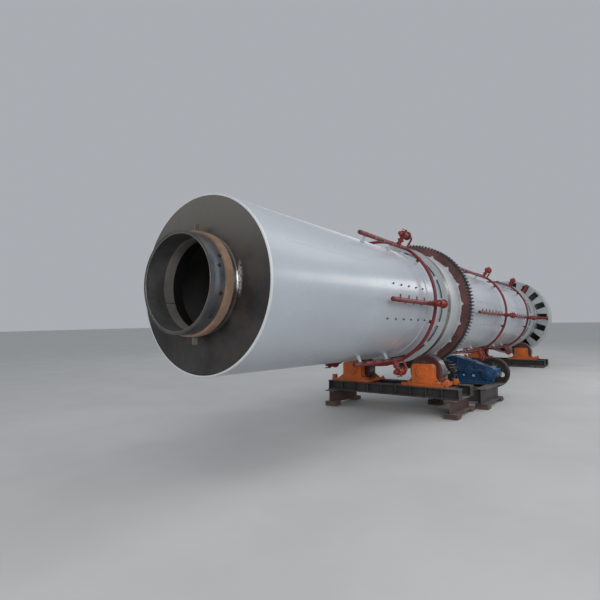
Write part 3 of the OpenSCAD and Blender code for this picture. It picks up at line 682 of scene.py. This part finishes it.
def header_details():
    feet = Work()
    for k, (start, end) in enumerate(zip(HEADER_START, RING_X)):
        fittings, tips, dark = Work(), Work(), Work()
        count = math.floor((end - start - 0.48) / NOZZLE_PITCH) + 1
        boss = [(HEADER_R - 0.004, 0.015), (HEADER_R + 0.006, 0.015), (HEADER_R + 0.009, 0.011)]
        for turn in TURNS[k]:
            for t in POSTS:
                x = start + t * (end - start)
                fittings.lathe(Matrix.Translation(clock(turn, HEADER_AT, x)),
                               band(0.016, HEADER_R - 0.001, HEADER_R + 0.0035), 32, closed=True)
                feet.lathe(outward(x, turn, 0.999), [(0, 0.038), (0.007, 0.038), (0.009, 0.036), (0.009, 0.026),
                                                      (0.016, 0.024)], 24)
            fittings.lathe(facing(*clock(turn, HEADER_AT, start + 0.001)),
                           [(0, HEADER_R), (0.006, HEADER_R - 0.002), (0.012, HEADER_R - 0.010), (0.015, 0.010)], 32)
            for i in range(count):
                at = tangent(start + 0.255 + NOZZLE_PITCH * i, turn, HEADER_AT)
                fittings.lathe(at, boss, 14)
                dark.lathe(at, [(0.058, 0.0125), (0.079, 0.0125), (0.083, 0.009)], 6)
            for i in range(count - 1):
                at = tangent(start + 0.445 + NOZZLE_PITCH * i, turn, HEADER_AT, -1)
                fittings.lathe(at, boss, 14)
                tips.lathe(at, [(0.046, 0.0105), (0.057, 0.0105), (0.060, 0.009)], 12)
        piece(f"header_{k + 1}_fittings", fittings, "pipe_paint", "drum")
        piece(f"header_{k + 1}_upper_tips", dark, "bolt_steel", "drum")
        piece(f"header_{k + 1}_lower_tips", tips, "bearing_grey", "drum")
    piece("header_post_feet", feet, "white_paint", "drum")


def ring_details():
    brackets, feet = Work(), Work()
    for x, turns in zip(RING_X, TURNS):
        for turn in turns:
            theta = turn - 16
            at = outward(x, theta, 1.0)
            brackets.block(at, (0.048, -0.028, -0.006), (RING_AT - 1.0 - 0.012, 0.028, 0.006), 0.002)
            feet.block(at, (-0.001, -0.024, -0.012), (0.060, 0.024, 0.012), 0.002)
            feet.block(at, (-0.002, -0.040, -0.026), (0.010, 0.040, 0.026), 0.002)
            brackets.lathe(tangent(x, theta, RING_AT), band(0.014, RING_R - 0.001, RING_R + 0.004), 28, closed=True)
    piece("ring_main_brackets", brackets, "pipe_paint", "drum")
    piece("ring_main_feet", feet, "shell_paint", "drum")


def valve_details():
    for k, x in enumerate(RING_X, 1):
        parts, nuts = Work(), Work()
        riser = x - RISER_BACK
        for turn in TURNS[k - 1]:
            def along(x, way=1):
                return place(clock(turn, VALVE_AT, x), (way, 0, 0), clock(turn, 1))

            parts.lathe(along(x - 0.51, -1), [(-0.001, 0.030), (0.004, 0.034), (0.020, 0.034), (0.026, 0.024)], 24)
            parts.lathe(outward(riser, turn, 1.158), [(0, 0.046), (0.014, 0.046), (0.018, 0.038)], 28)
            parts.lathe(outward(riser, turn, 1.215), [(0, 0.054), (0.012, 0.054), (0.013, 0.052), (0.014, 0.054),
                                                      (0.026, 0.054)], 28)
            parts.lathe(outward(riser, turn, VALVE_AT + 0.030), [(0, 0.036), (0.022, 0.036), (0.026, 0.020),
                                                                 (0.052, 0.016), (0.054, 0.010)], 24)
            parts.block(outward(riser, turn, VALVE_AT + 0.072), (0, -0.011, -0.150), (0.012, 0.011, 0.035))
            for spot in circle(outward(riser, turn, 1.240), 6, 0.045):
                nuts.bolt(spot, 0.0065)
            nuts.bolt(outward(riser, turn, VALVE_AT + 0.084), 0.010)
            for spot in circle(along(x - 0.44, -1), 8, 0.050) + circle(along(x - 0.218), 8, 0.063):
                nuts.lathe(spot, [(-0.001, 0.0058), (0.006, 0.0058)], 6)
            for spot in (along(x - 0.19), outward(x, turn, 1.205)):
                nuts.lathe(spot, [(0, 0.021), (0.002, 0.026), (0.028, 0.026), (0.030, 0.021)], 6)
            nuts.lathe(outward(x, turn, RING_AT + RING_R), [(0, 0.022), (0.012, 0.022), (0.014, 0.018)], 16)
        piece(f"valve_{k}_covers", parts, "valve_paint", "drum")
        piece(f"valve_{k}_nuts", nuts, "valve_paint", "drum")

    stubs, nuts = Work(), Work()
    for turn in TURNS[0]:
        stubs.lathe(outward(DISCHARGE_VALVE_X, turn, 0.999), [(0, 0.068), (0.010, 0.068), (0.014, 0.056)], 32)
        stubs.lathe(outward(DISCHARGE_VALVE_X, turn, 1.318), [(0, 0.074), (0.020, 0.074)], 40)
        stubs.lathe(outward(DISCHARGE_VALVE_X, turn, 1.379), [(0, 0.034), (0.006, 0.032), (0.008, 0.020)], 24)
        for spot in circle(outward(DISCHARGE_VALVE_X, turn, 1.380), 8, 0.056):
            nuts.bolt(spot, 0.0085)
    piece("discharge_valve_flanges", stubs, "valve_paint", "drum")
    piece("discharge_valve_nuts", nuts, "valve_paint", "drum")


# Roller stations


def station_details():
    for n, middle in enumerate(TYRE_MIDS, 1):
        trim, bolts, screws = Work(), Work(), Work()
        for side in (-1, 1):
            y0 = side * ROLLER_Y
            for x0, way in ((middle - 0.31, -1), (middle + 0.15, 1)):
                face = x0 - 0.034 if way < 0 else x0 + 0.194
                mid = x0 + 0.08
                front = facing(face, y0, ROLLER_Z, way)
                trim.lathe(front, [(-0.002, 0.062), (0.008, 0.062), (0.011, 0.058)], 40)
                root = facing(x0 if way < 0 else x0 + 0.16, y0, ROLLER_Z, way)
                trim.lathe(root, [(-0.001, 0.1085), (-0.001, 0.121), (0.006, 0.119), (0.011, 0.1085)], 48,
                           closed=True)
                for spot in circle(front, 6, 0.088, math.pi / 6):
                    trim.bolt(spot, 0.0115)
                level = Matrix.Translation((0, y0, 0))
                trim.block(level, (x0 - 0.004, -0.204, ROLLER_Z - 0.004),
                           (x0 + 0.164, 0.204, ROLLER_Z + 0.004), 0.0015)
                for edge in (-1, 1):
                    trim.block(level, (x0 + 0.008, edge * 0.198, BED_TOP - 0.001),
                               (x0 + 0.152, edge * 0.292, BED_TOP + 0.032), 0.006)
                    for x in (x0 + 0.042, x0 + 0.118):
                        bolts.bolt(flat(x, y0 + edge * 0.25, BED_TOP + 0.031), 0.016, 0.014)
                    gusset = Matrix.Translation((mid, y0 + edge * 0.1995, BED_TOP + 0.03))
                    trim.add(gusset, [(-0.007, 0, 0), (-0.007, edge * 0.07, 0), (-0.007, 0, 0.13),
                                      (0.007, 0, 0), (0.007, edge * 0.07, 0), (0.007, 0, 0.13)],
                             [[0, 1, 2], [3, 4, 5], [0, 1, 4, 3], [1, 2, 5, 4], [0, 2, 5, 3]])
                ring = [Vector((mid, y0 + 0.022 * math.cos(a), HOUSING_TOP + 0.030 + 0.022 * math.sin(a)))
                        for a in [math.radians(25 * k - 90) for k in range(15)]]
                bolts.tube(ring, 0.0065)
                bolts.lathe(flat(mid, y0, HOUSING_TOP - 0.001), [(0, 0.018), (0.006, 0.018), (0.009, 0.012)], 16)
                nipple = flat(x0 + 0.03, y0 - 0.09, HOUSING_TOP - 0.001)
                bolts.lathe(nipple, [(0, 0.010), (0.012, 0.010), (0.013, 0.006), (0.026, 0.006), (0.030, 0.008),
                                     (0.036, 0.004)], 10)
            for x in (middle - 0.335, middle + 0.335):
                for y in (y0 - 0.36, y0 + 0.36):
                    bolts.bolt(flat(x, y, BED_TOP), 0.016, 0.018)
            for x in (middle - 0.25, middle + 0.25):
                root, nut, lock = (place((x, y0 + side * y, BED_TOP - 0.022), (0, side, 0), (0, 0, 1))
                                   for y in (BED_W / 2, BED_W / 2 + 0.07, BED_W / 2 + 0.086))
                screws.lathe(root, [(-0.001, 0.012), (0.098, 0.012), (0.100, 0.010)], 16)
                screws.bolt(nut, 0.016)
                screws.lathe(lock, [(0.004, 0.012), (0.014, 0.012), (0.016, 0.010)], 6)
        piece(f"station_{n}_housing_trim", trim, "housing_paint", "foundation")
        piece(f"station_{n}_bolts", bolts, "bolt_steel", "foundation")
        piece(f"station_{n}_adjusting_screws", screws, "bolt_steel", "foundation")


def beam_details():
    for n, (middle, (y0, y1)) in enumerate(zip(TYRE_MIDS, BEAM_ENDS), 1):
        top = BED_TOP - BED_T
        welds = Work()
        pitch = (y1 - y0 - 0.012) / 9
        for x0 in (middle - 0.445, middle + 0.245):
            for i in range(10):
                y = y0 + i * pitch
                for x in (x0 + 0.03, x0 + 0.17):
                    for z in (top - 0.0165, top - 0.1685):
                        for way in (-0.001, 0.013):
                            welds.lathe(Matrix.Translation((x - 0.04, y + way, z)),
                                        [(0, 0.003), (0.004, 0.0055), (0.076, 0.0055), (0.080, 0.003)], 6)
        piece(f"station_{n}_beam_welds", welds, "beam_steel", "foundation")


# Drive


def roof(y):
    """Height of the reducer's roof at y, over the split of its case."""
    d = y - PINION_Y
    if d > -0.0826:
        return math.sqrt(max(0, 0.292 ** 2 - d * d))
    if d > -0.7475:
        return 0.2801 + (d + 0.0826) * 0.2951
    return -0.06 + math.sqrt(max(0, 0.15 ** 2 - (d + 0.705) ** 2))


def reducer_details():
    near, far, split = REDUCER_X + 0.02, REDUCER_X + REDUCER_W - 0.02, PINION_Z
    ribs, bolts, pale, nose, glass = Work(), Work(), Work(), Work(), Work()
    for x, way in ((near, -1), (far, 1)):
        for y in (-0.475, -0.80, -1.17):
            for low, high in ((split + 0.022, split + roof(y - 0.008) - 0.012),
                              (DRIVE_FLOOR + 0.038, split - 0.022)):
                ribs.block(Matrix(), (x, y - 0.008, low), (x + way * 0.03, y + 0.008, high))
        cap = facing(x, -1.03, split, way)
        ribs.lathe(cap, [(-0.001, 0.086), (0.034, 0.086), (0.038, 0.081), (0.038, 0.050), (0.044, 0.046)], 40)
        for spot in circle(cap, 6, 0.068, math.pi / 6):
            bolts.bolt(spot @ Matrix.Translation((0.037, 0, 0)), 0.0085)
    for x, y, z, way, at, count in ((REDUCER_X - 0.03, PINION_Y, PINION_Z, -1, 0.116, 8),
                                    (REDUCER_X + 0.36, PINION_Y, PINION_Z, 1, 0.116, 8),
                                    (REDUCER_X - 0.046, INPUT_Y, INPUT_Z, -1, 0.090, 6),
                                    (REDUCER_X + 0.37, INPUT_Y, INPUT_Z, 1, 0.090, 6)):
        front = facing(x, y, z, way)
        for spot in circle(front, count, at, math.pi / count):
            bolts.bolt(spot, 0.010)
        if y == PINION_Y:
            pale.lathe(front, [(-0.001, 0.077), (-0.001, 0.098), (0.006, 0.096), (0.007, 0.079)], 40, closed=True)
        elif way < 0:
            ribs.lathe(front, [(-0.001, 0.076), (0.003, 0.075), (0.010, 0.071), (0.012, 0.066)], 48)
        else:
            ribs.lathe(front, [(-0.001, 0.040), (-0.001, 0.066), (0.008, 0.064), (0.009, 0.042)], 40, closed=True)
    caps_at = ((PINION_Y, 0.16), (INPUT_Y, 0.13), (-1.03, 0.105))
    for x in (REDUCER_X + 0.004, REDUCER_X + REDUCER_W - 0.004):
        for i in range(12):
            y = -0.405 - i * 0.102
            if all(abs(y - c) > w for c, w in caps_at):
                bolts.bolt(flat(x, y, split + 0.024), 0.0105, 0.010)
                bolts.bolt(flat(x, y, split - 0.024, -1), 0.0105, 0.010)
        for i in range(5):
            y = -0.43 - i * 0.243
            ribs.lathe(flat(x, y, DRIVE_FLOOR + 0.039), [(0, 0.026), (0.006, 0.026), (0.008, 0.023)], 20)
            bolts.bolt(flat(x, y, DRIVE_FLOOR + 0.046), 0.014, 0.016)
    for x in (6.42, 6.53, 6.64):
        bolts.bolt(flat(x, -1.566, split + 0.024), 0.0105, 0.010)
        bolts.bolt(flat(x, -0.389, split + 0.024), 0.0105, 0.010)
    # Inspection cover and breather on the roof
    slope_up = Vector((0, -0.2830, 0.9591))
    middle = REDUCER_X + REDUCER_W / 2
    y = -1.05
    lid = place((middle, y, split + roof(y)), slope_up, (1, 0, 0))
    ribs.block(lid, (-0.002, -0.125, -0.105), (0.010, 0.125, 0.105), 0.003)
    ribs.block(lid, (0.008, -0.115, -0.095), (0.018, 0.115, 0.095), 0.003)
    for i in (-1, 0, 1):
        for k in (-1, 1):
            bolts.bolt(lid @ Matrix.Translation((0.017, i * 0.098, k * 0.080)), 0.0085)
    bolts.lathe(lid @ Matrix.Translation((0.016, 0.03, 0)),
                [(0, 0.020), (0.012, 0.020), (0.014, 0.013), (0.040, 0.013), (0.042, 0.027), (0.058, 0.027),
                 (0.064, 0.018)], 20)
    # Lifting hooks, and a band of lighter blue on the round end's upper curve: painted highlight where light falls on
    # it
    end_y = INPUT_Y - 0.15
    for x in (REDUCER_X + 0.035, REDUCER_X + REDUCER_W - 0.055):
        nose.block(Matrix(), (x, end_y - 0.052, split - 0.075), (x + 0.020, INPUT_Y - 0.10, split - 0.022), 0.004)
        nose.block(Matrix(), (x, end_y - 0.052, split - 0.105), (x + 0.020, end_y - 0.030, split - 0.070), 0.004)
        nose.block(Matrix(), (x, end_y - 0.030, split + 0.022), (x + 0.020, INPUT_Y - 0.06, split + 0.050), 0.004)
    arc = [math.radians(a) for a in range(100, 173, 8)]
    verts = [(x, INPUT_Y + r * math.cos(a), INPUT_Z + r * math.sin(a))
             for a in arc for x, r in ((near - 0.004, 0.1495), (near - 0.004, 0.154), (far + 0.004, 0.154),
                                       (far + 0.004, 0.1495))]
    faces = [[4 * i + k, 4 * i + (k + 1) % 4, 4 * i + 4 + (k + 1) % 4, 4 * i + 4 + k]
             for i in range(len(arc) - 1) for k in range(4)]
    last = 4 * len(arc) - 4
    nose.add(Matrix(), verts, faces + [[0, 1, 2, 3], [last, last + 1, last + 2, last + 3]])
    # Gauge, drain plug and a blank plate on the near side
    gauge = facing(near, -0.93, split - 0.10)
    ribs.lathe(gauge, [(-0.001, 0.030), (0.010, 0.030), (0.012, 0.027)], 28)
    glass.lathe(gauge, [(0.010, 0.020), (0.014, 0.020), (0.015, 0.018)], 28)
    bolts.bolt(facing(near, -1.28, DRIVE_FLOOR + 0.075), 0.016)
    pale.block(facing(near, -1.133, split - 0.104), (0.0004, -0.034, -0.022), (0.004, 0.034, 0.022), 0.001)
    for y in (-1.161, -1.105):
        for z in (-0.120, -0.088):
            bolts.lathe(facing(near, y, split + z), [(0.002, 0.004), (0.006, 0.0035)], 8)
    piece("reducer_ribs", ribs, "reducer_blue", "foundation")
    piece("reducer_lugs_and_lit_band", nose, "cap_blue", "foundation")
    piece("reducer_bolts", bolts, "bolt_blue", "foundation")
    piece("reducer_plates", pale, "white_paint", "foundation")
    piece("reducer_gauge", glass, "glass", "foundation")


def drive_details():
    fittings, bolts, covers = Work(), Work(), Work()
    for x0 in (5.51, 5.97):
        mid = x0 + 0.06
        for edge in (-1, 1):
            y = PINION_Y + edge * 0.19
            bolts.bolt(flat(mid, y, DRIVE_FLOOR + 0.04), 0.019, 0.020)
            fittings.block(Matrix(), (x0 + 0.01, PINION_Y + edge * 0.138, PINION_Z - 0.020),
                           (x0 + 0.11, PINION_Y + edge * 0.192, PINION_Z + 0.020), 0.004)
            for x in (x0 + 0.035, x0 + 0.085):
                bolts.bolt(flat(x, PINION_Y + edge * 0.166, PINION_Z + 0.020), 0.0125, 0.010)
                bolts.bolt(flat(x, PINION_Y + edge * 0.166, PINION_Z - 0.020, -1), 0.0125)
        fittings.block(Matrix(), (x0 - 0.002, PINION_Y - 0.142, PINION_Z - 0.003),
                       (x0 + 0.122, PINION_Y + 0.142, PINION_Z + 0.003), 0.001)
        for x, way in ((x0, -1), (x0 + 0.12, 1)):
            front = facing(x, PINION_Y, PINION_Z, way)
            covers.lathe(front, [(-0.001, 0.0745), (-0.001, 0.108), (0.014, 0.106), (0.016, 0.102), (0.016, 0.0745)],
                         48, closed=True)
            for spot in circle(front, 6, 0.091):
                bolts.bolt(spot @ Matrix.Translation((0.016, 0, 0)), 0.0075)
        bolts.lathe(flat(mid, PINION_Y, DRIVE_FLOOR + 0.389), [(0, 0.011), (0.010, 0.011), (0.012, 0.006),
                                                               (0.026, 0.006), (0.030, 0.009), (0.036, 0.004)], 10)
    piece("pinion_bearing_fittings", fittings, "bearing_grey", "foundation")
    piece("pinion_bearing_covers", covers, "bearing_grey", "foundation")
    piece("pinion_bearing_bolts", bolts, "bolt_steel", "foundation")

    frame_bolts = Work()
    for y in (-0.52, -0.68, -1.42, -1.58):
        for x in (5.46, 6.70):
            frame_bolts.bolt(flat(x, y, DRIVE_FLOOR), 0.015, 0.014)
    for x in (5.46, 6.10):
        for y in (-0.9, -0.36):
            frame_bolts.bolt(flat(x, y, DRIVE_FLOOR), 0.014, 0.012)
    piece("drive_base_bolts", frame_bolts, "bolt_steel", "foundation")

    coupling, groove = Work(), Work()
    for x, way in ((6.13, -1), (6.30, 1)):
        front = facing(x, PINION_Y, PINION_Z, way)
        if way < 0:  # On the other side they would meet the reducer's bolts as the shaft turns
            for spot in circle(front, 8, 0.118):
                coupling.bolt(spot, 0.013, 0.008)
        coupling.lathe(front, [(-0.001, 0.0695), (-0.001, 0.096), (0.010, 0.094), (0.012, 0.0695)], 40, closed=True)
    piece("coupling_bolts", coupling, "bolt_steel", "pinion_shaft")
    # Near-black ring in the coupling's gap and a dark centre hole: painted shade in these recesses
    groove.lathe(Matrix.Translation((6.215, PINION_Y, PINION_Z)),
                 band(0.004, 0.149, 0.1508), 64, closed=True)
    groove.lathe(facing(5.5, PINION_Y, PINION_Z), [(-0.001, 0.012), (0.001, 0.012), (0.0015, 0.009)], 16)
    piece("coupling_gap", groove, "black_hole", "pinion_shaft")

    hub, key = Work(), Work()
    for x, way in ((PULLEY_X, -1), (PULLEY_X + 0.15, 1)):
        front = facing(x, INPUT_Y, INPUT_Z, way)
        hub.lathe(front, [(-0.001, 0.0365), (-0.001, 0.062), (0.007, 0.060), (0.009, 0.056), (0.009, 0.0365)],
                  40, closed=True)
        for spot in circle(front, 3, 0.066, 0.6):
            key.lathe(spot, [(-0.001, 0.006), (0.006, 0.006), (0.007, 0.005)], 10)
    key.block(Matrix.Translation((0, INPUT_Y, INPUT_Z)), (PULLEY_X - 0.012, -0.008, 0.030),
              (PULLEY_X + 0.168, 0.008, 0.041), 0.001)
    piece("pulley_hub_collars", hub, "pulley_iron", "input_pulley")
    piece("pulley_key", key, "bolt_steel", "input_pulley")


# Stage and light


def studio():
    mesh = bpy.data.meshes.new("studio_floor")
    s = 120
    mesh.from_pydata([(-s, -s, 0), (s, -s, 0), (s, s, 0), (-s, s, 0)], [], [(0, 1, 2, 3)])
    floor = bpy.data.objects.new("studio_floor", mesh)
    mesh.materials.append(floor_look())
    bpy.context.scene.collection.objects.link(floor)

    world = bpy.data.worlds.new("studio")
    world.use_nodes = True
    world.node_tree.nodes["Background"].inputs[0].default_value = (0.80, 0.84, 0.90, 1)
    world.node_tree.nodes["Background"].inputs[1].default_value = 0.50
    bpy.context.scene.world = world

    def lamp(name, at, target, size, power, colour=(1, 1, 1)):
        data = bpy.data.lights.new(name, "AREA")
        data.shape = "RECTANGLE"
        data.size, data.size_y = size
        data.energy = power
        data.color = colour
        o = bpy.data.objects.new(name, data)
        start = KILN @ Vector(at)
        o.location = start
        o.rotation_euler = (KILN @ Vector(target) - start).to_track_quat("-Z", "Y").to_euler()
        bpy.context.scene.collection.objects.link(o)

    lamp("roof_light", (6, -3.5, 7.6), (7, 0, -0.4), (22, 4), 330)
    lamp("side_light", (-8, -11, 3.4), (4, 0, -0.4), (9, 5), 760, (1.0, 0.98, 0.95))
    lamp("far_light", (18, 9, 6), (9, 0, -0.4), (14, 5), 200)
    lamp("strip_light", (13, -6.6, 3.0), (4, -0.9, 0.3), (7, 1.6), 110)

    view = bpy.context.scene.view_settings
    view.view_transform = "Standard"
    view.look = "None"


def dress_nodes():
    """Each CAD node gets the look of its material slot."""
    for row in frame["record"]["subparts"]:
        node = frame["nodes"][row["node"]]
        node.data.materials.clear()
        node.data.materials.append(looks[row["material_slot"]])


photo_camera()
make_looks()
dress_nodes()
shell_details()
ends_details()
tyre_details()
gear_details()
header_details()
ring_details()
valve_details()
station_details()
beam_details()
reducer_details()
drive_details()
studio()
